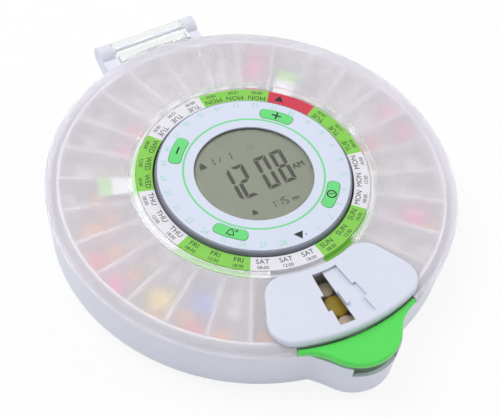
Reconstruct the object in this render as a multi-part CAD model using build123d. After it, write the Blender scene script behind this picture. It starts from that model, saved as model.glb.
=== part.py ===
from build123d import *
import os
from math import acos, atan2, cos, degrees, hypot, pi, radians, sin, sqrt, tan

# Automatic pill dispenser. Millimetres, +Z up. The origin is on the table, under the middle of the
# round body: +X is right, -Y is the front with the latch, +Y is the back with the lid's hinge.

# ---- driving dimensions ------------------------------------------------------------------------
lid_r = 95.0             # outer radius of the lid
lid_rim_z = 29.5         # height of the lid's outer shoulder
lid_wall = 1.4           # thickness of the lid
lid_skirt_t = 1.7        # thickness of the lid's skirt
lid_dome = 2.7           # rise of the lid from its shoulder to its hole
foot_h = 1.5             # the feet stand this far out of the base
foot_r, foot_recess = 5.0, 0.5
wall = 1.9               # thickness of the outer shell
floor_t = 2.0            # thickness of the base's floor
shell_draft = 4.8        # degrees that the outer wall leans outwards
gap = 0.3                # clearance between parts that move
pin_fit = 0.03           # radial clearance of a pin in its hole

cells = 29               # 28 doses and one home cell
tray_wall = 1.2          # thickness of the tray's walls
divider_t = 1.0          # thickness of a divider
track_h = 1.0            # height of the tracks that the tray turns on
flange_t = 0.9           # the flange that carries the dosage ring
ring_t = 0.6             # thickness of the dosage ring
ring_w = 9.1             # width of the dosage ring
ring_turn = -1.1         # degrees that the dosage ring sits off the cells, within its play
tab_len = 14.8           # reach of the ring's two tabs over the cells
tab_half = 4.5           # degrees each side of a tab's middle
tab_cells = (11, 20)     # cells, counted from the home cell, that carry the tabs

hub_wall_t = 1.6
face_rise = 5.5          # the display's face stands this far over the lid's shoulder
face_t = 0.8             # thickness of the white face
window_r = 27.66         # radius of the opening over the clock
button_w = 5.7           # radial width of a button
button_arc = 24.5        # degrees that a button covers, end to end
button_corner = 2.1      # rounding of a button's corners
button_angles = {"plus": 43.0, "minus": 133.0, "alarm": -137.0, "clock": -47.0}
button_proud = 0.3       # the buttons stand this far out of the face
button_travel = 0.6
board_t = 1.6
switch_h = 2.7           # height of a button's switch
switch_angle = 150.0     # where the index switch feels the tray

cell_d = 14.2            # AA cell
cell_len = 50.2
cell_count = 4
door_barrel_r = 1.0      # the battery door's hinge: a barrel, two knuckles and their stub pins
door_knuckle_in, door_knuckle_out = 8.3, 12.0
door_pin_r, door_pin_len = 0.5, 1.8

drive_module, motor_module = 1.0, 0.5
pinion_teeth, wheel_teeth, motor_teeth = 18, 36, 12
backlash = 0.10          # play in each gear pair, along the pitch circle
axle_r = 1.0
motor_r, motor_len = 6.0, 11.5
motor_shaft_r = 0.8

fan_half = 26.5          # the dispensing plate, a fan over the home cell: degrees each side
fan_corner = 11.0
fan_rise = 3.3           # the plate's top stands this far over the lid's shoulder
fan_wall = 2.0
fan_edge = 1.5           # rounding of the plate's top edge
fan_skin = 1.1
slot_angle, slot_half = -89.7, 5.9   # the aperture: middle and half width in degrees
notch_extra = 1.3                    # degrees that the thumb notch is wider at each side
shutter_edge = -90.4                 # where the shutter's free edge stands at rest
shutter_arc = 15.5                   # degrees that the shutter covers
shutter_t = 0.65
ridge_arc = 1.6                      # width of the thumb ridge, in degrees

knuckle_r = 4.8          # the lid's hinge
knuckle_in, knuckle_out = 19.3, 26.3
hinge_pin_r = 1.5

nose_r = lid_r * 20.7 / 95           # radius of the latch's nose
nose_half = 57.0         # degrees each side that the nose's arc covers
tongue_draft = 4.0       # degrees that the tongue's wall leans out
tongue_edge = 3.0        # rounding of the tongue's bottom edge
latch_inset = 0.4        # the latch's nose stays this far inside the tongue's
latch_half = 18.7        # degrees each side of the front that the latch spans
latch_edge = 1.1         # rounding of the latch's top edge
latch_flat_x = 18.0      # half width of the latch's level underside
latch_rise = 0.16        # slope of the underside from there to the latch's ends
latch_z = 12.0           # height of the axis that the latch rocks on
latch_pin_r = 1.2
tongue_x = lid_r * 25 / 95           # half width where the tongue leaves the round wall
notch_half = 11.5        # half width of the notch that the light shines through

# ---- heights and radii that follow from these --------------------------------------------------
step = 360.0 / cells
home = -90.0
wall_slope = tan(radians(shell_draft))
shell_bottom_r = lid_r - 2.6
shell_top_z = lid_rim_z - 4.1
skirt_z = shell_top_z + 0.4
lid_face_r = lid_r - 2.0
lid_in_z = lid_rim_z + lid_dome
base_z = foot_h
floor_z = base_z + floor_t
out_r, out_z = lid_r + 40, lid_rim_z + 20         # beyond everything, for cuts that go right through

# the battery bay, and the hub that holds it beside the motor
cell_pitch = cell_d + 0.4
cover_top_z = base_z + 1.2
cell_mid = cover_top_z + 1.0 + cell_d / 2
cell_top = cell_mid + cell_d / 2
bay_wall = 1.0
bay_half_x, bay_half_y = cell_count * cell_pitch / 2, cell_len / 2 + 1.8
bay_corner = hypot(bay_half_x + bay_wall, bay_half_y + bay_wall)
hub_in_r = max(bay_corner + 1.6, bay_half_y + bay_wall + 2 * motor_r + 3.1)
hub_r = hub_in_r + hub_wall_t
door_x, door_y = bay_half_x - 0.6, bay_half_y - 0.3
door_hinge_y, door_hinge_z = door_y - door_barrel_r - gap, base_z + door_barrel_r
cover_r, cover_hole_r = hub_r + 1.4, hub_in_r - 0.8
post_angles = (15, 165, 250, 290)    # posts for the cover's screws below and the board's above

# the tray and its ring
track_z = floor_z + track_h
tray_z = track_z + gap
tray_floor_z = tray_z + tray_wall
tray_top_z = lid_rim_z - 1.3
flange_z = tray_top_z + flange_t
ring_z = flange_z + ring_t
tray_r = shell_bottom_r - wall - 0.9
ring_in_r = hub_r + 1.7
ring_out_r = ring_in_r + ring_w
band_r, band_z = ring_out_r - 1.8, ring_z + 2.7   # the ring's raised band, which carries the print
collar_in_r = band_r + 0.6
lid_hole_r = ring_out_r + 2.2
cell_r = ring_out_r + 0.8
tab_r = cell_r + tab_len
track_radii = (cell_r - 4.2, tray_r - 5.6)
foot_ring_r = tray_r - 11.6

# the display on top of the hub
hub_top_z = flange_z + 0.2
board_z = hub_top_z - 1.9
deck_z = hub_top_z + 1.1
display_z = lid_rim_z + face_rise
face_z = display_z - face_t
face_r = ring_in_r - 1.95
button_r = face_r - 7.6
switch_top_z = board_z + board_t + switch_h
frame_r = window_r + 1.74            # outer radius of the wall round the clock
frame_t = 1.2
lcd_r = frame_r - frame_t - 0.15
lcd_top_z = face_z - 1.0
lcd_t = 1.4

# the drive, beside the battery bay
ring_teeth = round(2 * (hub_r + 3.4) / drive_module)
pinion_c = (0.0, (ring_teeth - pinion_teeth) * drive_module / 2)
mesh_d = (wheel_teeth + motor_teeth) * motor_module / 2
motor_c_r = hub_in_r - motor_r - 0.4
motor_y = (motor_c_r ** 2 + pinion_c[1] ** 2 - mesh_d ** 2) / (2 * pinion_c[1])
motor_c = (sqrt(motor_c_r ** 2 - motor_y ** 2), motor_y)
bracket_z0 = cover_top_z + motor_len + 1.5
bracket_z1 = bracket_z0 + 1.0
wheel_z0, wheel_z1 = bracket_z1 + gap, bracket_z1 + gap + 2.6
ring_gear_z0, pinion_z1 = wheel_z1 + 0.8, board_z - 1.4
switch_z = board_z - 3.9             # height of the index switch's nub

# the dispensing plate and its shutter
fan_in_r, fan_out_r = cell_r + 0.2, lid_r - 2.7
fan_top_z = lid_rim_z + fan_rise
under_fan_z = ring_z + 0.5
slot_in_r, slot_out_r = cell_r + 4.0, tray_r - tray_wall
notch_in_r, notch_out_r = (slot_in_r + slot_out_r) / 2 - 2.3, (slot_in_r + slot_out_r) / 2 + 5.9
shutter_z1 = fan_top_z - fan_skin - 0.2
shutter_z0 = shutter_z1 - shutter_t

# the hinge and the latch
hinge_y, hinge_z = lid_r + 9.2, shell_top_z - 0.9
nose_y = -(hinge_y + knuckle_r)
latch_in_r = lid_r - 2.4
latch_under_z, latch_top_z, latch_nose_z = shell_top_z - 0.7, lid_rim_z - 1.1, lid_rim_z - 2.1
latch_skin_z = latch_under_z + 1.5
tongue_top_z = latch_under_z - 1.2
notch_floor_z = tongue_top_z - 5.5
latch_y = -(shell_bottom_r + 4.6)    # the axis that the latch rocks on
arm_x, arm_t, arm_r = 4.7, 2.2, 2.2               # the latch's arms
boss_x, boss_t, boss_r = 7.5, 2.0, 2.3            # the bosses that hold the latch's pin
spring_r, spring_wire = 1.4, 0.22
spring_x, spring_y, spring_seat_z = 8.2, latch_y - 2.6, latch_z + 2.6
led_y = latch_y - 3.8                # the face of the light's board
front_half = latch_half + 0.4        # the lid and the wall make room for the latch this far
strip_r = latch_in_r - gap           # the lid's edge behind the latch
catch_z0 = latch_under_z + 0.9       # underside of the lid's barb
barb_t = 0.8
hook_z = catch_z0 + barb_t + gap


# ---- helpers ---------------------------------------------------------------------------------
def polar(r, angle):
    return (r * cos(radians(angle)), r * sin(radians(angle)))


def prism(face, z0, z1):
    return Pos(0, 0, z0) * extrude(face, z1 - z0)


def ring(outer, inner, z0, z1):
    return prism(Circle(outer) - Circle(inner), z0, z1)


def rod(r, x, y, z0, z1):
    return Pos(x, y, z0) * Cylinder(r, z1 - z0, align=(Align.CENTER, Align.CENTER, Align.MIN))


def cross_rod(r, y, z, x0, x1):
    """A rod along X."""
    return Pos(x0, y, z) * (Rot(0, 90, 0) * rod(r, 0, 0, 0, x1 - x0))


def long_rod(r, x, z, y0, y1):
    """A rod along Y."""
    return Pos(x, y0, z) * (Rot(-90, 0, 0) * rod(r, 0, 0, 0, y1 - y0))


def block(x0, x1, y0, y1, z0, z1):
    return Pos(x0, y0, z0) * Box(x1 - x0, y1 - y0, z1 - z0, align=(Align.MIN, Align.MIN, Align.MIN))


def sector(r0, r1, a0, a1):
    """The flat piece between two radii and two angles."""
    edges = [CenterArc((0, 0), r0, a0, a1 - a0), Line(polar(r0, a1), polar(r1, a1)),
             CenterArc((0, 0), r1, a0, a1 - a0), Line(polar(r0, a0), polar(r1, a0))]
    return make_face(edges)


def turned(points):
    """A solid of revolution from (radius, height) points."""
    return revolve(Plane.XZ * make_face(Polyline(*points, close=True)), Axis.Z)


def lid_top(r):
    """Height of the lid's outer surface, a shallow dome."""
    span = lid_face_r - lid_hole_r
    return lid_in_z - lid_dome * ((r - lid_hole_r) / span) ** 2


def dome_curve(r0, r1, rise):
    """The dome's curve between two radii, raised or sunk from the outer surface."""
    middle = (r0 + r1) / 2
    return ThreePointArc((r0, lid_top(r0) + rise), (middle, lid_top(middle) + rise), (r1, lid_top(r1) + rise))


def gear_face(teeth, module, addendum, dedendum, play, phase):
    """The outline of an involute gear with its first tooth at the phase angle."""
    pitch = teeth * module / 2
    base = pitch * cos(radians(20))
    tip, root = pitch + addendum * module, pitch - dedendum * module
    inv20 = tan(radians(20)) - radians(20)
    start = max(base, root) + 1e-3
    flank = [start + (tip - start) * k / 3 for k in range(4)]

    def half_angle(r):
        a = acos(base / r)
        return degrees(pi / (2 * teeth) - play / (2 * pitch) + inv20 - (tan(a) - a))

    points = []
    for tooth in range(teeth):
        middle = phase + 360.0 * tooth / teeth
        rising = [(root, middle - half_angle(start))] if root < start - 0.01 else []
        rising += [(r, middle - half_angle(r)) for r in flank]
        falling = [(r, 2 * middle - a) for r, a in reversed(rising)]
        points += [polar(r, a) for r, a in rising + falling]
    return make_face(Polyline(*points, close=True))


def latch_outline(inset, tip_x, tip_r):
    """The front outline shared by the tongue and the latch: a round nose, pulled in by the inset,
    that flares into a circle of the tip radius."""
    r = nose_r - inset
    nose_c = nose_y + nose_r
    lean_x, lean_y = cos(radians(nose_half)), sin(radians(nose_half))
    end_x, end_y = r * lean_y, nose_c - r * lean_x
    tip_y, back_y = -sqrt(tip_r ** 2 - tip_x ** 2), -cell_r
    edges = [ThreePointArc((-end_x, end_y), (0, nose_c - r), (end_x, end_y)),
             TangentArc((end_x, end_y), (tip_x, tip_y), tangent=(lean_x, lean_y)),
             TangentArc((-end_x, end_y), (-tip_x, tip_y), tangent=(-lean_x, lean_y)),
             Polyline((tip_x, tip_y), (tip_x, back_y), (-tip_x, back_y), (-tip_x, tip_y))]
    return make_face(edges)


def under_latch(z):
    """Everything under a line that is level in the middle at a height and rises to both sides."""
    far_z = z + (out_r - latch_flat_x) * latch_rise
    side = make_face(Polyline((-out_r, far_z), (-latch_flat_x, z), (latch_flat_x, z), (out_r, far_z),
                              (out_r, -1), (-out_r, -1), close=True))
    return extrude(Plane.XZ * side, out_r, both=True)


def save(name, shape):
    export_step(shape, f"parts/{name}.step")


os.makedirs("parts", exist_ok=True)


# ---- base ------------------------------------------------------------------------------------
def shell_r(z):
    """Outer radius of the drafted wall at a height."""
    return shell_bottom_r + (z - base_z) * wall_slope


def shell_cone(grow):
    """The solid cone inside the drafted wall's outer face, grown or shrunk."""
    return turned([(0, 0), (shell_r(0) + grow, 0), (shell_r(out_z) + grow, out_z), (0, out_z)])


def outer_shell():
    top_r, in_r = shell_r(shell_top_z), tray_r - 20
    body = turned([(in_r, base_z), (shell_bottom_r, base_z), (top_r, shell_top_z), (in_r, shell_top_z)])
    bottom = body.edges().filter_by(GeomType.CIRCLE).group_by(Axis.Z)[0]
    body = fillet(bottom.sort_by(SortBy.RADIUS)[-1], 1.2)
    height = tongue_top_z - base_z
    foot_inset = height * tan(radians(tongue_draft))
    tongue = Pos(0, 0, base_z) * extrude(latch_outline(foot_inset, tongue_x, shell_bottom_r - 0.5), height,
                                         taper=-tongue_draft)
    arcs = tongue.edges().group_by(Axis.Z)[0].filter_by(GeomType.CIRCLE)
    tongue = fillet(arcs, tongue_edge)
    body += tongue - rod(tray_r - 5, 0, 0, 0, out_z)
    # the front of the wall is lower, because the latch covers it
    body -= prism(sector(tray_r - 10, out_r, home - front_half, home + front_half), tongue_top_z, out_z) \
        - under_latch(tongue_top_z)
    hollow = latch_outline(foot_inset + wall + 0.6, tongue_x - 5, shell_bottom_r - 2)
    cavity = extrude(hollow, out_z - floor_z, taper=-tongue_draft / 2)
    body -= Pos(0, 0, floor_z) * cavity - shell_cone(0.5)
    # the well that the tray turns in
    body -= shell_cone(-wall)
    # the notch under the latch's nose
    body -= block(-notch_half, notch_half, -out_r, latch_y - 1.0, notch_floor_z, out_z)
    # bosses that hold the latch's pin, seats for its springs and a slot for the light's board
    for side in (-1, 1):
        x0, x1 = side * boss_x - boss_t / 2, side * boss_x + boss_t / 2
        boss = block(x0, x1, latch_y - boss_r, latch_y + boss_r, floor_z - 0.2, latch_z)
        boss += cross_rod(boss_r, latch_y, latch_z, x0, x1)
        boss += rod(spring_r + 0.4, side * spring_x, spring_y, floor_z - 0.2, spring_seat_z)
        body += boss - cross_rod(latch_pin_r + pin_fit, latch_y, latch_z, x0 - 1, x1 + 1)
    return body + hinge_ears()


def hinge_ears():
    """Two ears at the back, each with a round knuckle."""
    ears = []
    for side in (-1, 1):
        near, far = sorted((side * knuckle_in, side * knuckle_out))
        root_y = sqrt(shell_bottom_r ** 2 - knuckle_out ** 2) - 0.5
        arm = make_face(Polyline((root_y, shell_top_z - 12), (hinge_y + 1.5, hinge_z - knuckle_r + 0.25),
                                 (hinge_y, hinge_z), (hinge_y - 4, shell_top_z), (root_y, shell_top_z),
                                 close=True))
        ear = Pos(near, 0, 0) * extrude(Plane.YZ * arm, far - near)
        ear += cross_rod(knuckle_r, hinge_y, hinge_z, near, far)
        ear -= cross_rod(hinge_pin_r + pin_fit, hinge_y, hinge_z, near - 1, far + 1)
        ears.append(ear - shell_cone(0.5 - wall))
    return ears[0] + ears[1]


def foot_places():
    return [polar(foot_ring_r, a) for a in (45, 135, 225, 315)]


def base_floor():
    """The floor that the tray runs on, with two raised tracks and a recess for the bottom cover."""
    outer = shell_bottom_r - wall - 0.02
    body = ring(outer, cover_hole_r, base_z, floor_z)
    body -= ring(cover_r + 0.2, 1, base_z, cover_top_z)
    for r in track_radii:
        body += ring(r + 1.0, r - 1.0, floor_z, track_z)
    for x, y in foot_places():
        body -= rod(foot_r + 0.1, x, y, base_z, base_z + foot_recess)
    return body


def hub_wall():
    """The fixed drum in the middle, with windows for the drive pinion and the index switch."""
    body = ring(hub_r, hub_in_r, floor_z, hub_top_z)
    body -= block(-11.5, 11.5, hub_in_r - 8, hub_r + 2, wheel_z0 - 0.6, pinion_z1 + 0.6)
    window = block(hub_in_r - 8, hub_r + 2, -2.2, 2.2, switch_z - 2.5, switch_z + 2.5)
    body -= Rot(0, 0, switch_angle) * window
    for x, y in screw_places():
        post = rod(2.6, x, y, floor_z, board_z)
        body += post & ring(hub_r - 0.5, 1, floor_z, board_z)
        body -= rod(0.95, x, y, board_z - 8, board_z)
        body -= rod(0.95, x, y, floor_z, floor_z + 8)
    return body


def bottom_cover():
    body = ring(cover_r, 1.0, base_z, cover_top_z) + prism(Circle(1.2), base_z, cover_top_z)
    body -= block(-door_x, door_x, -door_y, door_y, base_z - 1, cover_top_z + 1)
    for side in (-1, 1):
        x0, x1 = sorted((side * door_knuckle_in, side * door_knuckle_out))
        body += Pos(x0, 0, 0) * extrude(door_strip(1, door_y + 0.5), x1 - x0, dir=(1, 0, 0))
        body += cross_rod(door_pin_r, door_hinge_y, door_hinge_z, x0 - door_pin_len, x1 + door_pin_len)
    for x, y in screw_places():
        body -= rod(1.15, x, y, base_z - 1, cover_top_z + 1)
        body -= rod(2.1, x, y, base_z - 1, base_z + 0.5)
    return body


def door_strip(way, far_y):
    """Section across the battery door's hinge: a round barrel and the plate that runs from it."""
    near_y = door_hinge_y + way * sqrt(door_barrel_r ** 2 - (cover_top_z - door_hinge_z) ** 2)
    bottom, top = (door_hinge_y, base_z), (near_y, cover_top_z)
    barrel = ThreePointArc(bottom, (door_hinge_y - way * door_barrel_r, door_hinge_z), top)
    return Plane.YZ * make_face([barrel, Polyline(top, (far_y, cover_top_z), (far_y, base_z), bottom)])


def screw_places():
    return [polar(hub_in_r - 2.0, a) for a in post_angles]


def screw(x, y, head_z, head_h, tip_z, turned_down):
    """A small pan-head screw. Its head is below its thread when it is turned down."""
    low, high = sorted((head_z, head_z + (head_h if not turned_down else -head_h)))
    cut = (low - 0.1, low + 0.25) if turned_down else (high - 0.35, high + 0.1)
    head = rod(1.9, x, y, low, high) - block(x - 1.2, x + 1.2, y - 0.25, y + 0.25, *cut)
    thread = rod(0.9, x, y, *sorted((head_z, tip_z)))
    return head + thread


def bottom_screws():
    # the heads lie in the cover's counterbores, below the floor's own face
    z = base_z + 0.5
    return [screw(x, y, z, 0.45, z + 7.0, True) for x, y in screw_places()]


def board_screws():
    z = board_z + board_t
    return [screw(x, y, z, 1.1, z - 6.0, False) for x, y in screw_places()]


def battery_holder():
    """An upside-down tray over the cells, open to the battery door."""
    half_x, half_y = bay_half_x, bay_half_y
    body = block(-half_x - bay_wall, half_x + bay_wall, -half_y - bay_wall, half_y + bay_wall,
                 cover_top_z + 0.1, cell_top + 1.4)
    body -= block(-half_x, half_x, -half_y, half_y, 0, cell_top + 0.2)
    for k in range(1, cell_count):
        x = (k - cell_count / 2) * cell_pitch
        body += block(x - 0.5, x + 0.5, -half_y + 4, half_y - 4, cell_mid + 4.2, cell_top + 0.4)
    return body


def cell_rows():
    """The cells' middles, and which end of the bay each positive end faces."""
    return [((k - (cell_count - 1) / 2) * cell_pitch, 1 if k % 2 else -1) for k in range(cell_count)]


def batteries():
    cells_ = []
    for x, way in cell_rows():
        plus = way * (bay_half_y - 0.5)
        nub = plus - way * 1.0
        minus = plus - way * cell_len
        body = long_rod(cell_d / 2, x, cell_mid, *sorted((nub, minus)))
        cells_.append(body + long_rod(2.7, x, cell_mid, *sorted((nub - way * 0.1, plus))))
    return cells_


def battery_plates():
    """The flat spring-steel contacts at both ends of every cell."""
    plates = []
    for x, _ in cell_rows():
        for side in (-1, 1):
            y0, y1 = sorted((side * bay_half_y, side * (bay_half_y - 0.5)))
            plates.append(block(x - 5.5, x + 5.5, y0, y1, cell_mid - 5.5, cell_mid + 5.5))
    return plates


def battery_springs():
    """The cone springs at the cells' flat ends."""
    springs = []
    for x, way in cell_rows():
        seat = -way * (bay_half_y - 0.5)
        length = 2 * (bay_half_y - 0.5) - cell_len
        path = Helix(pitch=(length - 0.6) / 2.5, height=length - 0.6, radius=4.2, cone_angle=12)
        wire = sweep(Plane(path @ 0, z_dir=path % 0) * Circle(0.3), path)
        springs.append(Pos(x, seat + way * 0.3, cell_mid) * (Rot(-90 * way, 0, 0) * wire))
    return springs


def battery_door():
    """The door in the bottom cover: a snap at its front edge, a finger dent, and a hinge barrel that
    turns on the cover's two knuckles."""
    play = 0.25
    half_x, front_y = door_x - play, -door_y + play
    body = Pos(-half_x, 0, 0) * extrude(door_strip(-1, front_y), 2 * half_x, dir=(1, 0, 0))
    body += block(-4, 4, front_y, front_y + 1.0, cover_top_z - 0.1, cover_top_z + 1.6)
    body -= rod(6.0, 0, -door_y + 9.0, base_z - 0.1, base_z + 0.4)
    for side in (-1, 1):
        x0, x1 = sorted((side * door_knuckle_in, side * door_knuckle_out))
        body -= block(x0 - gap, x1 + gap, door_hinge_y - door_barrel_r - gap, out_r, 0, out_z)
        bore = door_pin_len + 0.2
        body -= cross_rod(door_pin_r + pin_fit, door_hinge_y, door_hinge_z, x0 - bore, x1 + bore)
    return body


# ---- drive -----------------------------------------------------------------------------------
def drive_motor():
    body = rod(motor_r, *motor_c, cover_top_z + 0.9, cover_top_z + 0.9 + motor_len)
    return body + rod(2.2, *motor_c, cover_top_z + 0.8 + motor_len, bracket_z0)


def gear_bracket():
    """The plate that holds the motor's nose and the gear axle, fixed to the hub's wall."""
    x, y = motor_c
    plate = block(-6, x + 5, y - motor_r + 1.8, hub_in_r, bracket_z0, bracket_z1)
    plate = plate & rod(hub_in_r - 0.03, 0, 0, 0, out_z)
    return plate - rod(motor_shaft_r + 0.8, x, y, 0, out_z) - rod(axle_r, *pinion_c, 0, out_z)


def gear_axle():
    return rod(axle_r, *pinion_c, bracket_z0, board_z + 0.3)


def reduction_gear():
    """A spur wheel driven by the motor, in one piece with the pinion that turns the tray."""
    aim = degrees(atan2(motor_c[1] - pinion_c[1], motor_c[0] - pinion_c[0]))
    wheel = gear_face(wheel_teeth, motor_module, 0.8, 1.2, backlash, aim)
    pinion = gear_face(pinion_teeth, drive_module, 0.9, 1.2, backlash, 90)
    body = Pos(*pinion_c) * (prism(wheel, wheel_z0, wheel_z1) + prism(pinion, wheel_z1, pinion_z1))
    return body - rod(axle_r + pin_fit, *pinion_c, 0, out_z)


def motor_pinion():
    back = degrees(atan2(pinion_c[1] - motor_c[1], pinion_c[0] - motor_c[0]))
    face = gear_face(motor_teeth, motor_module, 0.8, 1.2, backlash, back + 180.0 / motor_teeth)
    return Pos(*motor_c) * prism(face, wheel_z0, wheel_z1) - rod(motor_shaft_r, *motor_c, 0, out_z)


def motor_shaft():
    return rod(motor_shaft_r, *motor_c, bracket_z0 + 0.1, wheel_z1 + 0.6)


def index_switch():
    """A small lever switch that feels the tray's notches through the hub's wall."""
    low_z = max(switch_z - 3.0, cell_top + 1.4 + gap)
    body = block(hub_in_r - 6.5, hub_in_r - 0.5, -2.0, 2.0, low_z, board_z)
    nub = block(hub_in_r - 1.0, hub_r + 1.6, -1.2, 1.2, switch_z - 1.0, switch_z + 1.0)
    return Rot(0, 0, switch_angle) * (body + nub)


# ---- tray ------------------------------------------------------------------------------------
def tray_dividers():
    band = Circle(tray_r - tray_wall) - Circle(cell_r)
    plates = []
    for k in range(cells):
        angle = home + (k + 0.5) * step
        strip = Rot(0, 0, angle) * (Pos((cell_r + tray_r) / 2, 0) * Rectangle(tray_r - cell_r + 4, divider_t))
        plates.append(prism(strip & band, tray_floor_z, tray_top_z))
    return plates


def tray_ring_gear():
    teeth = gear_face(ring_teeth, drive_module, 1.2, 0.9, -backlash, 90)
    outer = ring_teeth * drive_module / 2 + 2.4
    return prism(Circle(outer) - teeth, ring_gear_z0, tray_top_z)


def dosage_ring():
    """The printed ring that names the doses, with two tabs to lift it by."""
    face = Circle(ring_out_r) - Circle(ring_in_r)
    for k in tab_cells:
        middle = home + k * step + ring_turn
        face += sector(ring_out_r - 1, tab_r, middle - tab_half, middle + tab_half)
    return prism(face, flange_z, ring_z) + ring(band_r, ring_in_r, flange_z, band_z)


# ---- display ---------------------------------------------------------------------------------
def button_face(angle, grow):
    """A button's outline, a short arc with rounded corners, grown on every side."""
    half_w, half_arc = button_w / 2 + grow, button_arc / 2 + degrees(grow / button_r)
    body = sector(button_r - half_w, button_r + half_w, angle - half_arc, angle + half_arc)
    return fillet(body.vertices(), button_corner + grow)


def display_housing():
    """The grey ring-shaped trough under the white face."""
    skirt_top_r, skirt_bottom_r = face_r + 0.75, ring_in_r - 0.4
    body = turned([(skirt_top_r - 1.5, face_z), (skirt_top_r, face_z), (skirt_bottom_r, hub_top_z),
                   (hub_in_r, hub_top_z), (hub_in_r, deck_z)])
    body += ring(hub_in_r + 0.6, frame_r - frame_t, deck_z, deck_z + 0.8)
    body += ring(frame_r, frame_r - frame_t, deck_z, face_z - 0.7)
    for angle in button_angles.values():
        body -= rod(3.6, *polar(button_r, angle), deck_z - 1, deck_z + 2)
    return body


def display_face():
    """The white face with its clock opening and four button openings."""
    body = ring(face_r, window_r, face_z, display_z)
    for angle in button_angles.values():
        body -= prism(button_face(angle, 0.2), face_z - 1, display_z + 1)
    rim = body.edges().filter_by(GeomType.CIRCLE).group_by(Axis.Z)[-1].sort_by(SortBy.RADIUS)[-1]
    return fillet(rim, 0.4)


def button(angle):
    """A cap that shows, a flange that keeps it in and a stem over its switch."""
    cap = prism(button_face(angle, 0), face_z - 0.4, display_z + button_proud)
    cap = fillet(cap.edges().group_by(Axis.Z)[-1], 0.35)
    flange = prism(button_face(angle, 0.8), face_z - 1.0, face_z - gap)
    return cap + flange + rod(2.0, *polar(button_r, angle), switch_top_z + button_travel + gap, face_z - 0.9)


def tact_switches():
    parts = []
    for angle in button_angles.values():
        x, y = polar(button_r, angle)
        body = Rot(0, 0, angle) * block(-2.2, 2.2, -2.2, 2.2, board_z + board_t, switch_top_z - 0.8)
        parts.append(Pos(x, y) * body + rod(1.4, x, y, switch_top_z - 0.9, switch_top_z))
    return parts


def circuit_board():
    body = rod(hub_in_r - 0.3, 0, 0, board_z, board_z + board_t)
    for x, y in screw_places():
        body -= rod(1.1, x, y, 0, out_z)
    return body - rod(axle_r + 0.1, *pinion_c, 0, board_z + 0.4)


def lcd_window():
    return rod(frame_r, 0, 0, face_z - 0.7, face_z)


def lcd_panel():
    return rod(lcd_r, 0, 0, lcd_top_z - lcd_t, lcd_top_z)


def lcd_connectors():
    z0, z1 = board_z + board_t, lcd_top_z - lcd_t
    return [block(-14, 14, side * 21 - 1.2, side * 21 + 1.2, z0, z1) for side in (-1, 1)]


# ---- lid -------------------------------------------------------------------------------------
def fan_face(inset):
    """The dispensing plate's outline, pulled in by the inset."""
    flat = sector(fan_in_r, fan_out_r, home - fan_half, home + fan_half)
    flat = fillet(flat.vertices(), fan_corner)
    return offset(flat, -inset) if inset else flat


def dome_band(r0, r1, rise, bottom_z):
    """The solid under the lid's surface, between two radii, down to a flat bottom."""
    z0, z1 = lid_top(r0) + rise, lid_top(r1) + rise
    edges = [dome_curve(r0, r1, rise), Line((r1, z1), (r1, bottom_z)), Line((r1, bottom_z), (r0, bottom_z)),
             Line((r0, bottom_z), (r0, z0))]
    return revolve(Plane.XZ * make_face(edges), Axis.Z)


def lid():
    """The frosted cover: a shallow dome with a rounded rim and a short skirt, a hole for the
    display, a window for the dispensing plate and a catch for the latch."""
    skirt_in_r = lid_r - lid_skirt_t
    z0, z1 = lid_top(lid_hole_r), lid_top(lid_face_r)
    under = z1 - lid_wall
    edges = [dome_curve(lid_hole_r, lid_face_r, 0),
             ThreePointArc((lid_face_r, z1), (lid_r - 0.62, z1 - 0.66), (lid_r, z1 - 2.1)),
             Polyline((lid_r, z1 - 2.1), (lid_r, skirt_z), (skirt_in_r, skirt_z), (skirt_in_r, under - 0.4),
                      (lid_face_r, under)),
             dome_curve(lid_hole_r, lid_face_r, -lid_wall),
             Line((lid_hole_r, z0 - lid_wall), (lid_hole_r, z0))]
    body = revolve(Plane.XZ * make_face(edges), Axis.Z)
    body -= prism(sector(strip_r, lid_r + 3, home - front_half, home + front_half), skirt_z - 5, out_z)
    window = fan_face(fan_wall) - sector(slot_out_r + 1.0, lid_r, home - 40, home + 40)
    body -= prism(window + sector(ring_in_r, cell_r + 10, home - 15, home + 15), lid_rim_z - 9, out_z)
    return body + lid_catch()


def lid_catch():
    """A tab under the lid's front edge with a barb that the latch holds down."""
    plate = prism(sector(tray_r + 0.8, strip_r, home - 4, home + 4), catch_z0, lid_top(strip_r) - 0.6)
    barb = prism(sector(strip_r - 0.1, latch_in_r + 0.8, home - 3.6, home + 3.6), catch_z0, catch_z0 + barb_t)
    return plate + barb


def lid_collar():
    """The clear ring round the lid's hole, cut away where the dispensing plate stands."""
    body = ring(lid_hole_r, collar_in_r, ring_z + 0.4, lid_in_z + 0.8)
    body = fillet(body.edges().group_by(Axis.Z)[-1], 0.4)
    near = sector(ring_in_r, fan_in_r + 2, home - fan_half + 3.6, home + fan_half - 3.6)
    return body - prism(fan_face(-0.1) + near, lid_rim_z - 9, out_z)


def hinge_leaf():
    """The clear barrel and the leaf that joins it to the lid's rim."""
    length = knuckle_in - gap
    top = hinge_z + knuckle_r
    leaf = block(-length, length, lid_r - 7, hinge_y, skirt_z + 0.4, top)
    leaf -= rod(lid_r + 0.02, 0, 0, 0, out_z)
    barrel = cross_rod(knuckle_r, hinge_y, hinge_z, -length, length)
    return leaf + barrel - cross_rod(hinge_pin_r + pin_fit, hinge_y, hinge_z, -60, 60)


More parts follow.
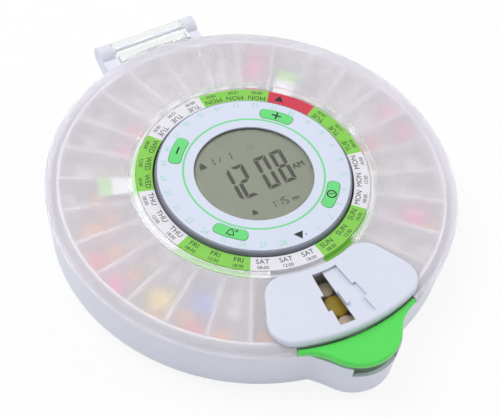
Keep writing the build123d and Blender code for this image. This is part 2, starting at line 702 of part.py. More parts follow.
def dispenser_plate():
    """The opaque fan over the home cell. Its wall follows the lid's dome, and its skin has the
    aperture with a thumb notch at each side."""
    body = prism(fan_face(0), lid_rim_z - 1.0, fan_top_z)
    body = fillet(body.edges().group_by(Axis.Z)[-1], fan_edge)
    body -= prism(fan_face(fan_wall), lid_rim_z - 9, fan_top_z - fan_skin)
    body -= dome_band(lid_hole_r, lid_face_r, 0.02, lid_rim_z - 9)
    body -= rod(lid_hole_r + 0.1, 0, 0, lid_rim_z - 9, under_fan_z)
    a0, a1 = slot_angle - slot_half, slot_angle + slot_half
    slot = sector(slot_in_r, slot_out_r, a0, a1)
    slot += sector(notch_in_r, notch_out_r, a0 - notch_extra, a1 + notch_extra)
    return body - prism(slot, lid_rim_z - 9, out_z)


def shutter():
    """A thin curved slide under the plate, with a thumb ridge that stands up in the aperture."""
    slide = sector(slot_in_r - 1.0, slot_out_r + 0.9, shutter_edge, shutter_edge + shutter_arc)
    slide = fillet(slide.vertices().sort_by(Axis.X)[-2:], 4.0)
    body = prism(slide, shutter_z0, shutter_z1)
    ridge = sector(notch_in_r + 0.5, notch_out_r - 0.5, shutter_edge, shutter_edge + ridge_arc)
    ridge = fillet(ridge.vertices().sort_by(Axis.X)[-2:], 1.5)
    return body + prism(ridge, shutter_z1 - 0.1, fan_top_z + 0.5)


def shutter_rails():
    """Two curved rails under the plate that carry the shutter's edges."""
    well = fan_face(fan_wall + 0.02)
    spans = [(fan_in_r, slot_in_r - 0.3), (slot_out_r + 0.1, fan_out_r)]
    faces = [sector(r0, r1, home - 13, home + 22) & well for r0, r1 in spans]
    return [prism(face, under_fan_z, shutter_z0 - 0.15) for face in faces]


# ---- latch -----------------------------------------------------------------------------------
def latch_lever():
    """The green front latch. Pressing its nose rocks it on its pin and frees the lid's catch."""
    blank = latch_outline(latch_inset, lid_r * sin(radians(latch_half)), lid_r)
    wedge = sector(latch_in_r, out_r, home - latch_half, home + latch_half)
    body = prism(blank & wedge, latch_under_z, latch_top_z + 2)
    slope = (latch_top_z - latch_nose_z) / (abs(nose_y) - latch_in_r)
    back_y, front_y = 12 - latch_in_r, nose_y - 4
    side = make_face(Polyline((back_y, latch_top_z + slope * 12), (front_y, latch_nose_z - slope * 4),
                              (front_y, out_z), (back_y, out_z), close=True))
    body -= extrude(Plane.YZ * side, out_r, both=True)
    rim = body.faces().sort_by(Axis.Z)[-1].outer_wire().edges()
    body = fillet(rim, latch_edge)
    body -= under_latch(latch_under_z)
    hollow = latch_outline(latch_inset + 1.6, tongue_x - 1, lid_r - 2) - Circle(latch_in_r + 1.6)
    hollow = hollow & sector(latch_in_r, out_r, home - latch_half + 2.7, home + latch_half - 2.7)
    body -= prism(hollow, latch_under_z - 1, latch_skin_z)
    body -= prism(sector(latch_in_r - 1, latch_in_r + 1.8, home - 4.4, home + 4.4), latch_under_z - 1, hook_z)
    for s in (-1, 1):
        x0, x1 = s * arm_x - arm_t / 2, s * arm_x + arm_t / 2
        arm = block(x0, x1, latch_y - arm_r, latch_y + 1.2, latch_z, latch_skin_z + 0.3)
        arm += cross_rod(arm_r, latch_y, latch_z, x0, x1)
        body += arm - cross_rod(latch_pin_r + pin_fit, latch_y, latch_z, x0 - 1, x1 + 1)
    return body


def latch_springs():
    height = latch_skin_z - 0.3 - spring_seat_z - 2 * spring_wire - 0.1
    path = Helix(pitch=height / 6, height=height, radius=spring_r)
    wire = sweep(Plane(path @ 0, z_dir=path % 0) * Circle(spring_wire), path)
    return [Pos(s * spring_x, spring_y, spring_seat_z + spring_wire + 0.03) * wire for s in (-1, 1)]


def alarm_lens():
    """The curved light window that stands in the notch under the latch."""
    nose_c = nose_y + nose_r
    outer = nose_r - 2.3
    strip = Pos(0, nose_c) * (Circle(outer) - Circle(outer - 1.1))
    strip = strip & (Pos(0, nose_y) * Rectangle(2 * notch_half - 0.6, 30))
    return prism(strip, notch_floor_z + 0.02, tongue_top_z - 0.3)


def led_board():
    return block(-2.9, 2.9, led_y, led_y + 0.8, floor_z, tongue_top_z - 0.4)


def alarm_led():
    z = (notch_floor_z + tongue_top_z) / 2
    return long_rod(1.5, 0, z, led_y - 4.2, led_y)


# ---- the pieces ------------------------------------------------------------------------------
save("outer_shell", outer_shell())
save("base_floor", base_floor())
save("hub_wall", hub_wall())
save("bottom_cover", bottom_cover())
save("rubber_feet", Compound([rod(foot_r, x, y, 0, base_z + foot_recess) for x, y in foot_places()]))
save("bottom_screws", Compound(bottom_screws()))
save("battery_holder", battery_holder())
save("batteries", Compound(batteries()))
save("battery_plates", Compound(battery_plates()))
save("battery_springs", Compound(battery_springs()))
save("battery_door", battery_door())

save("drive_motor", drive_motor())
save("gear_bracket", gear_bracket())
save("gear_axle", gear_axle())
save("reduction_gear", reduction_gear())
save("motor_pinion", motor_pinion())
save("motor_shaft", motor_shaft())
save("index_switch", index_switch())

save("tray_floor", ring(tray_r, hub_r + gap, tray_z, tray_floor_z))
save("tray_outer_wall", ring(tray_r, tray_r - tray_wall, tray_floor_z, tray_top_z))
save("tray_inner_wall", ring(cell_r, cell_r - tray_wall, tray_floor_z, tray_top_z))
save("tray_flange", ring(cell_r, ring_in_r + 0.2, tray_top_z, flange_z))
save("tray_dividers", Compound(tray_dividers()))
save("tray_ring_gear", tray_ring_gear())
save("dosage_ring", dosage_ring())

save("display_housing", display_housing())
save("display_face", display_face())
for name, angle in button_angles.items():
    save(f"button_{name}", button(angle))
save("tact_switches", Compound(tact_switches()))
save("circuit_board", circuit_board())
save("board_screws", Compound(board_screws()))
save("controller_chip", block(8, 17, -6, 3, board_z - 1.5, board_z))
save("buzzer", rod(10.0, -14, 0, board_z - 4.0, board_z))
save("lcd_window", lcd_window())
save("lcd_panel", lcd_panel())
save("lcd_connectors", Compound(lcd_connectors()))

save("lid", lid())
save("lid_collar", lid_collar())
save("hinge_leaf", hinge_leaf())
save("hinge_pin", cross_rod(hinge_pin_r, hinge_y, hinge_z, -knuckle_out, knuckle_out + 1.2))
save("dispenser_plate", dispenser_plate())
save("shutter", shutter())
save("shutter_rails", Compound(shutter_rails()))

save("latch_lever", latch_lever())
save("latch_pin", cross_rod(latch_pin_r, latch_y, latch_z, -boss_x - boss_t / 2, boss_x + boss_t / 2))
save("latch_springs", Compound(latch_springs()))
save("alarm_lens", alarm_lens())
save("led_board", led_board())
save("alarm_led", alarm_led())
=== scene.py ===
"""The looks of a round automatic pill dispenser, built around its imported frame.

The printed parts, the clock's segments and the pills are made here. Every other piece is a node
of the frame with its own material. The scene is in metres, +Z up. Places, radii and outlines on
the flat are given in millimetres, heights (z) in metres, and angles in degrees."""
import random
from math import cos, radians, sin, tau

import bmesh
import bpy
from mathutils import Matrix, Vector


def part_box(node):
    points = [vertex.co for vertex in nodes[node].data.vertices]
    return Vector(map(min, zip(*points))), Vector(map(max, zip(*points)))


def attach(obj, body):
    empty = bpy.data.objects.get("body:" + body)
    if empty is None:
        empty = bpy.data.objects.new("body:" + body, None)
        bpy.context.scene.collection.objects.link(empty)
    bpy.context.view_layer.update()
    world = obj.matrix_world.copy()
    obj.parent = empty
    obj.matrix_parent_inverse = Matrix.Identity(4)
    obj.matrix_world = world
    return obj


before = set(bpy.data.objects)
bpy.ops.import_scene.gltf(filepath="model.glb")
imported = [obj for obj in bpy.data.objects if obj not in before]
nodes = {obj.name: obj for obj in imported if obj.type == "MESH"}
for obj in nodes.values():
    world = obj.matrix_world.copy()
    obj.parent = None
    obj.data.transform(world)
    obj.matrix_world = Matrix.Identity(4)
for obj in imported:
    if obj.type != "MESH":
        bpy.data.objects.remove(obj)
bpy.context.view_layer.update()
scene = bpy.context.scene
scene.view_settings.view_transform = "Standard"
mm = 0.001

# ---- sizes read from the frame -----------------------------------------------------------------
face_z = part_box("display_face")[1].z     # top of the white display face
ring_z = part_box("dosage_ring")[1].z      # top of the dosage ring's raised band
lcd_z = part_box("lcd_panel")[1].z         # top of the clock's panel
tray_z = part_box("tray_floor")[1].z       # the cells' floor
button_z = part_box("button_plus")[1].z    # top of the four buttons
feet_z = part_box("rubber_feet")[0].z      # soles of the feet, where the floor is

# ---- the tray's layout -------------------------------------------------------------------------
cells = 29                               # 28 doses and the home cell
cell_step = 360 / cells
home_angle = -90                         # the home cell's middle, at the front
printed_cells, cells_a_day = 27, 3
first_label = 51.7                       # where the first printed cell starts

# ---- the camera, fitted to the photograph ------------------------------------------------------
view_azimuth, view_height, view_roll = radians(-36.24), radians(51.57), radians(7.53)
view_distance, view_target_z = 0.720, 1.5 * mm
sensor_width, focal_length = 36.0, 109.6
shift_x, shift_y = 0.0035, 0.0185


def place_camera():
    data = bpy.data.cameras.new("camera")
    data.sensor_fit = "HORIZONTAL"
    data.sensor_width = sensor_width
    data.lens = focal_length
    data.shift_x, data.shift_y = shift_x, shift_y
    camera = bpy.data.objects.new("camera", data)
    scene.collection.objects.link(camera)
    flat = cos(view_height)
    back = Vector((sin(view_azimuth) * flat, -cos(view_azimuth) * flat, sin(view_height)))
    right = Vector((cos(view_azimuth), sin(view_azimuth), 0))
    up = back.cross(right)
    rolled_right = cos(view_roll) * right + sin(view_roll) * up
    rolled_up = cos(view_roll) * up - sin(view_roll) * right
    place = Matrix((rolled_right, rolled_up, back)).transposed().to_4x4()
    place.translation = back * view_distance + Vector((0, 0, view_target_z))
    camera.matrix_world = place
    scene.camera = camera


place_camera()


# ---- materials ---------------------------------------------------------------------------------
def tone(red, green, blue):
    """A colour given as it shows (sRGB, 0 to 255), in the shader's linear values."""
    shown = [c / 255 for c in (red, green, blue)]
    return [c / 12.92 if c <= 0.04045 else ((c + 0.055) / 1.055) ** 2.4 for c in shown] + [1.0]


class Nodes:
    """The nodes of a material or of the world, added one at a time."""

    def __init__(self, owner):
        owner.use_nodes = True
        self.owner, self.tree = owner, owner.node_tree
        self.tree.nodes.clear()

    def add(self, kind, inputs=(), **settings):
        """A node with its inputs: a socket is linked, anything else is set as the value."""
        node = self.tree.nodes.new(kind)
        for key, value in settings.items():
            setattr(node, key, value)
        for key, value in dict(inputs).items():
            if isinstance(value, bpy.types.NodeSocket):
                self.tree.links.new(value, node.inputs[key])
            else:
                node.inputs[key].default_value = value
        return node

    def math(self, operation, a, b=0.0):
        return self.add("ShaderNodeMath", {0: a, 1: b}, operation=operation).outputs[0]

    def mix(self, share, a, b):
        """Two colours mixed, all b at a share of 1."""
        return self.add("ShaderNodeMix", {0: share, 6: a, 7: b}, data_type="RGBA").outputs[2]


class Graph(Nodes):
    """A new material's nodes."""

    def __init__(self, name):
        super().__init__(bpy.data.materials.new(name))
        self.place = self.add("ShaderNodeTexCoord").outputs["Object"]

    def noise(self, scale, detail=2.0):
        node = self.add("ShaderNodeTexNoise", {"Vector": self.place, "Scale": scale, "Detail": detail})
        return node.outputs["Fac"]

    def spread(self, noise, low, high):
        """A noise, which lies mostly between 0.3 and 0.7, spread between two values."""
        node = self.add("ShaderNodeMapRange", {"Value": noise, "From Min": 0.3, "From Max": 0.7,
                                               "To Min": low, "To Max": high})
        return node.outputs["Result"]

    def vary(self, color, amount, scale):
        """A colour that drifts a little lighter and darker."""
        light = [min(1, c * (1 + amount)) for c in color[:3]] + [1]
        dark = [c * (1 - amount) for c in color[:3]] + [1]
        return self.mix(self.spread(self.noise(scale), 0.0, 1.0), dark, light)

    def bump(self, scale, depth):
        node = self.add("ShaderNodeBump", {"Height": self.noise(scale, 3.0), "Distance": depth,
                                           "Strength": 1.0})
        return node.outputs["Normal"]

    def finish(self, shader):
        self.add("ShaderNodeOutputMaterial", {"Surface": shader})
        return self.owner


drift, drift_scale = 0.012, 60           # how far a colour drifts, and its noise's scale
gloss_scale = 140                        # the scale of a surface's uneven gloss
soft_depth = 1.2 * mm                    # how far light goes into soft plastic
coat_rough = 0.12


def plastic(name, color, rough, grain=(2600, 0.02), soft=0.0, coat=0.0, color_by=None, metal=0.0):
    """Moulded plastic, rubber, paint or metal: a drifting colour, uneven gloss and a fine grain,
    which is given as a scale and a depth in millimetres."""
    g = Graph(name)
    scale, depth = grain
    inputs = {"Base Color": color_by(g) if color_by else g.vary(tone(*color), drift, drift_scale),
              "Roughness": g.spread(g.noise(gloss_scale), rough - 0.04, rough + 0.05),
              "Normal": g.bump(scale, depth * mm),
              "Metallic": metal, "Coat Weight": coat, "Coat Roughness": coat_rough}
    if soft:
        inputs.update({"Subsurface Weight": soft, "Subsurface Radius": (1.0, 0.95, 0.9),
                       "Subsurface Scale": soft_depth})
    return g.finish(g.add("ShaderNodeBsdfPrincipled", inputs).outputs["BSDF"])


clear_drift, clear_drift_scale, clear_gloss_scale = 0.015, 30, 90


def see_through(name, color, rough, transmission, shade, grain=None, ior=1.46):
    """Clear or frosted plastic. Light that casts shadows passes it, tinted by the shade."""
    g = Graph(name)
    inputs = {"Base Color": g.vary(tone(*color), clear_drift, clear_drift_scale),
              "Roughness": g.spread(g.noise(clear_gloss_scale), rough * 0.92, rough * 1.08),
              "Transmission Weight": transmission, "IOR": ior}
    if grain:
        scale, depth = grain
        inputs["Normal"] = g.bump(scale, depth * mm)
    shader = g.add("ShaderNodeBsdfPrincipled", inputs)
    clear = g.add("ShaderNodeBsdfTransparent", {"Color": tone(*shade)})
    ray = g.add("ShaderNodeLightPath").outputs["Is Shadow Ray"]
    mixed = g.add("ShaderNodeMixShader", {0: ray, 1: shader.outputs["BSDF"], 2: clear.outputs["BSDF"]})
    return g.finish(mixed.outputs["Shader"])


label_green, label_white, label_red = tone(140, 212, 84), tone(236, 234, 238), tone(216, 62, 82)
tab_r, tab_end_r = 55.45, 64.5           # where a tab leaves the ring, and where its green end starts


def ring_colors(g):
    """The dosage ring's paper: three cells to a day, green and white in turn, and a red stretch
    in the place of the home cell. The tabs are white with a green end."""
    parts = g.add("ShaderNodeSeparateXYZ", {"Vector": g.place}).outputs
    angle = g.math("ARCTAN2", parts["Y"], parts["X"])
    turn = g.math("FLOORED_MODULO", g.math("SUBTRACT", angle, radians(first_label)), tau)
    day = g.math("FLOOR", g.math("DIVIDE", turn, radians(cells_a_day * cell_step)))
    on_white = g.math("MODULO", day, 2.0)
    on_red = g.math("GREATER_THAN", day, printed_cells / cells_a_day - 0.5)
    squares = g.math("ADD", g.math("POWER", parts["X"], 2.0), g.math("POWER", parts["Y"], 2.0))
    radius = g.math("SQRT", squares)
    on_tab = g.math("GREATER_THAN", radius, tab_r * mm)
    on_tab_end = g.math("GREATER_THAN", radius, tab_end_r * mm)
    paper = g.mix(on_white, label_green, label_white)
    paper = g.mix(on_red, paper, label_red)
    paper = g.mix(on_tab, paper, label_white)
    return g.mix(on_tab_end, paper, label_green)


white_plastic = plastic("white_plastic", (226, 229, 242), 0.38, soft=0.15)
shell_plastic = plastic("shell_plastic", (230, 232, 241), 0.42, soft=0.25)
face_plastic = plastic("face_plastic", (222, 228, 243), 0.34)
green_plastic = plastic("green_plastic", (92, 230, 94), 0.34, soft=0.1)
button_green = plastic("button_green", (112, 226, 128), 0.38)
grey_plastic = plastic("grey_plastic", (140, 143, 154), 0.45)
tray_plastic = plastic("tray_plastic", (232, 230, 230), 0.45, soft=0.2)
dark_plastic = plastic("dark_plastic", (62, 64, 70), 0.5)
gear_plastic = plastic("gear_plastic", (228, 225, 208), 0.45)
rubber = plastic("foot_rubber", (48, 48, 52), 0.8, grain=(1500, 0.05))
steel = plastic("bright_steel", (196, 197, 202), 0.28, grain=(5000, 0.005), metal=1.0)
battery_case = plastic("battery_case", (54, 60, 76), 0.3, coat=0.3)
circuit = plastic("circuit_green", (30, 96, 58), 0.4, coat=0.2)
chip = plastic("chip_black", (30, 30, 34), 0.5)
zebra = plastic("connector_rubber", (222, 178, 176), 0.6)
led_red = plastic("led_red", (220, 76, 60), 0.25)
ring_paper = plastic("ring_paper", None, 0.42, color_by=ring_colors)
lcd_ground = plastic("lcd_ground", (126, 130, 116), 0.38, grain=(4000, 0.004))
ink = plastic("ink", (42, 42, 50), 0.5)
segment_ink = plastic("segment_ink", (56, 56, 50), 0.45)
faint_ink = plastic("faint_ink", (104, 107, 95), 0.45)
pale_ink = plastic("pale_ink", (168, 224, 200), 0.45)
line_green = plastic("line_green", (128, 224, 152), 0.4)
frosted = see_through("frosted_plastic", (242, 240, 243), 0.58, 0.72, (246, 244, 247), (2600, 0.01))
clear = see_through("clear_plastic", (253, 254, 253), 0.10, 0.72, (248, 249, 248), ior=1.2)
milky = see_through("milky_plastic", (250, 251, 250), 0.06, 0.88, (246, 247, 246), ior=1.25)
window = see_through("window_plastic", (252, 253, 252), 0.03, 1.0, (250, 250, 248), ior=1.2)
lens = see_through("lens_plastic", (150, 178, 150), 0.3, 0.6, (160, 190, 160))

node_materials = {
    shell_plastic: ("outer_shell", "base_floor", "bottom_cover", "battery_door"),
    white_plastic: ("dispenser_plate", "shutter", "shutter_rails", "hub_wall", "gear_bracket",
                    "hinge_pin"),
    face_plastic: ("display_face",),
    green_plastic: ("latch_lever",),
    button_green: ("button_plus", "button_minus", "button_alarm", "button_clock"),
    grey_plastic: ("display_housing",),
    tray_plastic: ("tray_floor", "tray_outer_wall", "tray_inner_wall", "tray_flange",
                   "tray_dividers", "tray_ring_gear"),
    dark_plastic: ("battery_holder", "index_switch"),
    gear_plastic: ("reduction_gear", "motor_pinion"),
    rubber: ("rubber_feet",),
    steel: ("bottom_screws", "board_screws", "battery_plates", "battery_springs", "drive_motor",
            "gear_axle", "motor_shaft", "latch_pin", "latch_springs"),
    battery_case: ("batteries",),
    circuit: ("circuit_board", "led_board"),
    chip: ("controller_chip", "buzzer", "tact_switches"),
    zebra: ("lcd_connectors",),
    led_red: ("alarm_led",),
    ring_paper: ("dosage_ring",),
    lcd_ground: ("lcd_panel",),
    frosted: ("lid",),
    clear: ("lid_collar",),
    milky: ("hinge_leaf",),
    window: ("lcd_window",),
    lens: ("alarm_lens",),
}
for material, names in node_materials.items():
    for name in names:
        slots = nodes[name].data.materials
        slots.clear()
        slots.append(material)


# ---- mesh helpers ------------------------------------------------------------------------------
def piece(name, bm, material, body, smooth=False):
    """A finished mesh that rides on a body and takes the material it is given."""
    bmesh.ops.recalc_face_normals(bm, faces=bm.faces)
    data = bpy.data.meshes.new(name)
    bm.to_mesh(data)
    bm.free()
    for face in data.polygons:
        face.use_smooth = smooth
    data.materials.append(material)
    obj = bpy.data.objects.new(name, data)
    scene.collection.objects.link(obj)
    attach(obj, body)


print_t = 0.03 * mm                      # thickness of printed ink


def slab(bm, outline, z, thick=print_t):
    """A thin flat solid with the outline, a list of (x, y), standing on a height."""
    low = [bm.verts.new((x * mm, y * mm, z)) for x, y in outline]
    high = [bm.verts.new((x * mm, y * mm, z + thick)) for x, y in outline]
    bm.faces.new(low[::-1])
    bm.faces.new(high)
    for i in range(len(outline)):
        j = (i + 1) % len(outline)
        bm.faces.new((low[i], low[j], high[j], high[i]))


def band(bm, r0, r1, z, count=180):
    """A thin flat ring between two radii, standing on a height."""
    rows = []
    for r, h in ((r0, z), (r1, z), (r1, z + print_t), (r0, z + print_t)):
        rows.append([bm.verts.new((r * mm * cos(tau * k / count), r * mm * sin(tau * k / count), h))
                     for k in range(count)])
    for i in range(4):
        near, far = rows[i], rows[(i + 1) % 4]
        for k in range(count):
            j = (k + 1) % count
            bm.faces.new((near[k], near[j], far[j], far[k]))


def polar(r, angle):
    return (r * cos(radians(angle)), r * sin(radians(angle)))


def rect(x0, y0, x1, y1):
    return [(x0, y0), (x1, y0), (x1, y1), (x0, y1)]


def turned(outline, x, y, angle):
    """An outline turned by an angle and moved to a place."""
    c, s = cos(radians(angle)), sin(radians(angle))
    return [(x + c * u - s * v, y + s * u + c * v) for u, v in outline]


cap_height = 0.70                        # height of the font's capitals at size 1
half_extrude = 0.01                      # half the depth of new text at size 1


def add_text(bm, text, x, y, angle, height, z, squeeze=1.0, bold=0.0):
    """Text centred on a place and turned by an angle, with capitals of a height in millimetres.
    Bold text is laid twice, a little apart."""
    if bold:
        dx, dy = polar(bold, angle)
        add_text(bm, text, x - dx, y - dy, angle, height, z, squeeze)
        x, y = x + dx, y + dy
    curve = bpy.data.curves.new("text", "FONT")
    curve.body = text
    curve.align_x, curve.align_y = "CENTER", "CENTER"
    curve.resolution_u = 3
    curve.extrude = half_extrude
    holder = bpy.data.objects.new("text", curve)
    scene.collection.objects.link(holder)
    bpy.context.view_layer.update()
    shown = holder.evaluated_get(bpy.context.evaluated_depsgraph_get())
    data = bpy.data.meshes.new_from_object(shown)
    scale = height * mm / cap_height
    place = Matrix.Translation((x * mm, y * mm, z + print_t / 2)) @ Matrix.Rotation(radians(angle), 4, "Z")
    data.transform(place @ Matrix.Diagonal((scale * squeeze, scale, print_t / (2 * half_extrude), 1)))
    bm.from_mesh(data)
    bpy.data.objects.remove(holder)
    bpy.data.curves.remove(curve)
    bpy.data.meshes.remove(data)


# ---- the display's print -----------------------------------------------------------------------
line_r0, line_r1 = 32.0, 32.95           # the green line round the clock
number_r, number_height = 41.6, 2.8      # the cells' numbers


def display_print():
    bm = bmesh.new()
    band(bm, line_r0, line_r1, face_z)
    piece("display_ring_line", bm, line_green, "base")

    bm = bmesh.new()
    for number in range(1, cells):
        angle = home_angle + number * cell_step
        add_text(bm, str(number), *polar(number_r, angle), angle + 90, number_height, face_z, 0.9)
    piece("display_numbers", bm, pale_ink, "base")

    # the arrow at the home cell, and the dot beside it
    bm = bmesh.new()
    slab(bm, [(-2.4, -38.5), (0.0, -42.4), (2.4, -38.5)], face_z)
    slab(bm, [(x + 2.7, y - 40.9) for x, y in (polar(0.35, a) for a in range(0, 360, 30))], face_z)
    piece("display_pointer", bm, ink, "base")


button_places = {"plus": 43.0, "minus": 133.0, "alarm": -137.0, "clock": -47.0}    # angles
button_r = 36.75                         # the buttons' middles
sign_half, sign_reach = 0.4, 2.2         # half the stroke and half the length of plus and minus


def bell_outline(size):
    """A bell's outline, about 2 by 2 in size."""
    points = [(-1.0, -0.75), (-0.72, -0.45), (-0.66, 0.15), (-0.42, 0.62), (-0.14, 0.78), (-0.1, 1.0),
              (0.1, 1.0), (0.14, 0.78), (0.42, 0.62), (0.66, 0.15), (0.72, -0.45), (1.0, -0.75)]
    return [(x * size, y * size) for x, y in points]


def bell_lines():
    """The bell as a line of even width, in short strokes, with its clapper."""
    points = bell_outline(1.9)
    half_line = 0.22
    strokes = []
    for (x0, y0), (x1, y1) in zip(points, points[1:] + points[:1]):
        length = ((x1 - x0) ** 2 + (y1 - y0) ** 2) ** 0.5
        nx, ny = -(y1 - y0) / length * half_line, (x1 - x0) / length * half_line
        strokes.append([(x0 - nx, y0 - ny), (x1 - nx, y1 - ny), (x1 + nx, y1 + ny), (x0 + nx, y0 + ny)])
    return strokes + [rect(-0.45, -1.95, 0.45, -1.6)]


def button_icons():
    for name, angle in button_places.items():
        x, y = polar(button_r, angle)
        turn = angle + 90
        bm = bmesh.new()
        if name in ("plus", "minus"):
            bar = rect(-sign_reach, -sign_half, sign_reach, sign_half)
            slab(bm, turned(bar, x, y, turn), button_z)
        if name == "plus":
            for side in (-1, 1):
                near, far = sorted((side * sign_half, side * sign_reach))
                slab(bm, turned(rect(-sign_half, near, sign_half, far), x, y, turn), button_z)
        if name == "clock":
            band(bm, 1.7, 2.35, button_z, count=36)
            slab(bm, rect(-0.25, -0.2, 0.25, 1.4), button_z)
            slab(bm, [(0.25, -0.1), (1.2, -0.6), (0.95, -1.05), (0.25, -0.6)], button_z)
            place = Matrix.Translation((x * mm, y * mm, 0)) @ Matrix.Rotation(radians(turn), 4, "Z")
            bmesh.ops.transform(bm, matrix=place, verts=bm.verts)
        if name == "alarm":
            for outline in bell_lines():
                slab(bm, turned(outline, x, y, turn), button_z)
            # a small cross, whose second bar is thicker so that the two tops don't coincide
            for lean, thick in ((45, print_t), (135, print_t * 1.3)):
                bar = turned(rect(-0.9, -0.16, 0.9, 0.16), 2.4, 1.5, lean)
                slab(bm, turned(bar, x, y, turn), button_z, thick)
        piece(f"icon_{name}", bm, ink, f"button_{name}")


# ---- the clock's segments ----------------------------------------------------------------------
lit_segments = {"0": "abcdef", "1": "bc", "2": "abged", "5": "afgcd", "8": "abcdefg"}
digit_lean = 0.105                       # how far a digit leans over, for each unit of its height
time_digit = (6.4, 19.2, 1.9)            # the width, height and stroke of the digits of the time,
alarm_digit = (2.3, 4.2, 0.55)           # of the next alarm
count_digit = (1.3, 4.6, 0.6)            # and of the count of alarms
time_low, alarm_low, count_low = -10.9, -21.3, 12.3
colon_dot = 0.5


def digit(bm, char, x, y, width, height, stroke):
    """A slanted seven-segment digit on the panel. The place is its lower left corner."""
    half, gap = stroke / 2, stroke * 0.12
    middle = height / 2
    bar = [(gap, 0), (width - gap, 0), (width - stroke - gap, stroke), (stroke + gap, stroke)]
    post = [(0, gap), (stroke, stroke + gap), (stroke, middle - half - gap), (half, middle - gap),
            (0, middle - half)]
    tips = [(half + gap, 0), (stroke + gap, half), (width - stroke - gap, half), (width - half - gap, 0),
            (width - stroke - gap, -half), (stroke + gap, -half)]

    def flip(points, across, over):
        points = [(width - u if across else u, height - v if over else v) for u, v in points]
        return points[::-1] if across != over else points

    outlines = {"a": flip(bar, False, True), "b": flip(post, True, True), "c": flip(post, True, False),
                "d": bar, "e": post, "f": flip(post, False, True), "g": [(u, middle + v) for u, v in tips]}
    for segment in lit_segments[char]:
        slab(bm, [(x + u + v * digit_lean, y + v) for u, v in outlines[segment]], lcd_z)


def clock():
    bm = bmesh.new()
    for char, left in (("1", -17.4), ("2", -10.0), ("0", 2.0), ("8", 10.4)):
        digit(bm, char, left, time_low, *time_digit)
    add_text(bm, "AM", 21.4, -4.1, 0, 3.2, lcd_z, 0.95, 0.12)

    slab(bm, turned(bell_outline(1.7), -10.8, -19.1, 0), lcd_z)
    for char, left in (("1", -2.6), ("1", 1.1), ("5", 3.9)):
        digit(bm, char, left, alarm_low, *alarm_digit)
    for low in (-20.2, -18.4):
        slab(bm, turned(rect(0, 0, colon_dot, colon_dot), 1.15, low, 0), lcd_z)
    add_text(bm, "PM", 10.3, -20.4, 0, 1.9, lcd_z, 1.0, 0.08)

    slab(bm, turned(bell_outline(2.1), -18.8, 14.6, 0), lcd_z)
    for left in (-14.1, -5.1):
        digit(bm, "1", left, count_low, *count_digit)
    slab(bm, [(-10.6, 12.9), (-10.1, 12.9), (-8.6, 16.2), (-9.1, 16.2)], lcd_z)
    piece("clock_segments", bm, segment_ink, "base")

    bm = bmesh.new()
    for outline in bell_lines():
        slab(bm, [(6.8 + u * 0.75, 15.2 + v * 0.75) for u, v in outline], lcd_z)
    piece("clock_faint_sign", bm, faint_ink, "base")


# ---- the dosage ring's print -------------------------------------------------------------------
days = ("MON", "TUE", "WED", "THU", "FRI", "SAT", "SUN")
doses = ("08:00", "12:00", "18:00")
day_r, day_height = 48.7, 2.5
dose_r, dose_height = 51.9, 1.75
arrow_r, arrow_angle = 50.2, 45.5        # the arrow on the ring's red stretch


def ring_print():
    bm = bmesh.new()
    for k in range(printed_cells):
        angle = first_label + (k + 0.5) * cell_step
        day = days[k // cells_a_day % len(days)]
        add_text(bm, day, *polar(day_r, angle), angle + 90, day_height, ring_z)
        dose = doses[k % cells_a_day]
        add_text(bm, dose, *polar(dose_r, angle), angle + 90, dose_height, ring_z, 0.95)
    arrow = [(-2.2, -1.7), (2.2, -1.7), (0, 2.1)]
    slab(bm, turned(arrow, *polar(arrow_r, arrow_angle), arrow_angle - 90), ring_z)
    piece("ring_print", bm, ink, "tray")


# ---- the pills ---------------------------------------------------------------------------------
pill_colors = {"white": (236, 234, 230), "pink": (246, 30, 150), "rose": (240, 30, 70),
               "orange": (246, 150, 50), "yellow": (244, 216, 0), "blue": (80, 120, 226),
               "ochre": (186, 158, 54), "sand": (214, 196, 172)}
pill_t, pill_gap = 4.2, 0.15             # a tablet's thickness, and the gap over it
pill_layers = 4
pill_sides = 20
pill_rows = (62.5, 70.5, 78.5, 84.2)     # radii along a cell
plain_pills = ("white", "white", "white", "white", "sand", "white")
plain_radius, plain_across = (3.0, 3.7), (-1.4, 1.4)    # the ranges that the plain ones' sizes
                                                        # and places across the cell lie in
pill_room, left_out = 0.3, 0.2           # space between two tablets, and the share left out

# tablets that show through the lid, by the cell, counted from the home cell: colour, distance
# from the tray's middle, distance across the cell, radius
shown_pills = {
    0: [("ochre", 73.0, 0.3, 5.6), ("sand", 83.6, -0.4, 4.8), ("sand", 63.5, 0.6, 3.7)],
    4: [("pink", 75.5, 1.0, 5.8), ("orange", 84.6, -2.5, 3.0)],
    7: [("rose", 65.8, 1.6, 4.0), ("pink", 83.0, 2.2, 4.6)],
    8: [("pink", 83.0, -2.5, 4.6)],
    12: [("pink", 74.7, 0, 5.0), ("rose", 84.0, -1.6, 4.0)],
    17: [("rose", 63.0, 1.0, 4.4)],
    18: [("pink", 62.8, 0.5, 4.2)],
    20: [("pink", 63.0, 0.8, 4.6), ("orange", 71.5, 2.5, 4.0)],
    21: [("orange", 76.9, 2.4, 5.0), ("orange", 67.0, -2.0, 3.4)],
    22: [("rose", 82.8, 0.0, 4.8), ("orange", 73.0, 0.0, 3.8)],
    23: [("pink", 83.0, -3.2, 5.0), ("orange", 73.0, -1.0, 3.4)],
    24: [("yellow", 75.7, 0.0, 6.2), ("orange", 84.8, 1.0, 3.0)],
    25: [("rose", 83.6, 3.0, 4.2), ("orange", 78.6, -3.4, 4.0), ("blue", 69.0, 1.2, 5.2)],
    26: [("orange", 83.4, -3.6, 4.2)],
    27: [("orange", 83.4, -2.9, 4.4)],
}


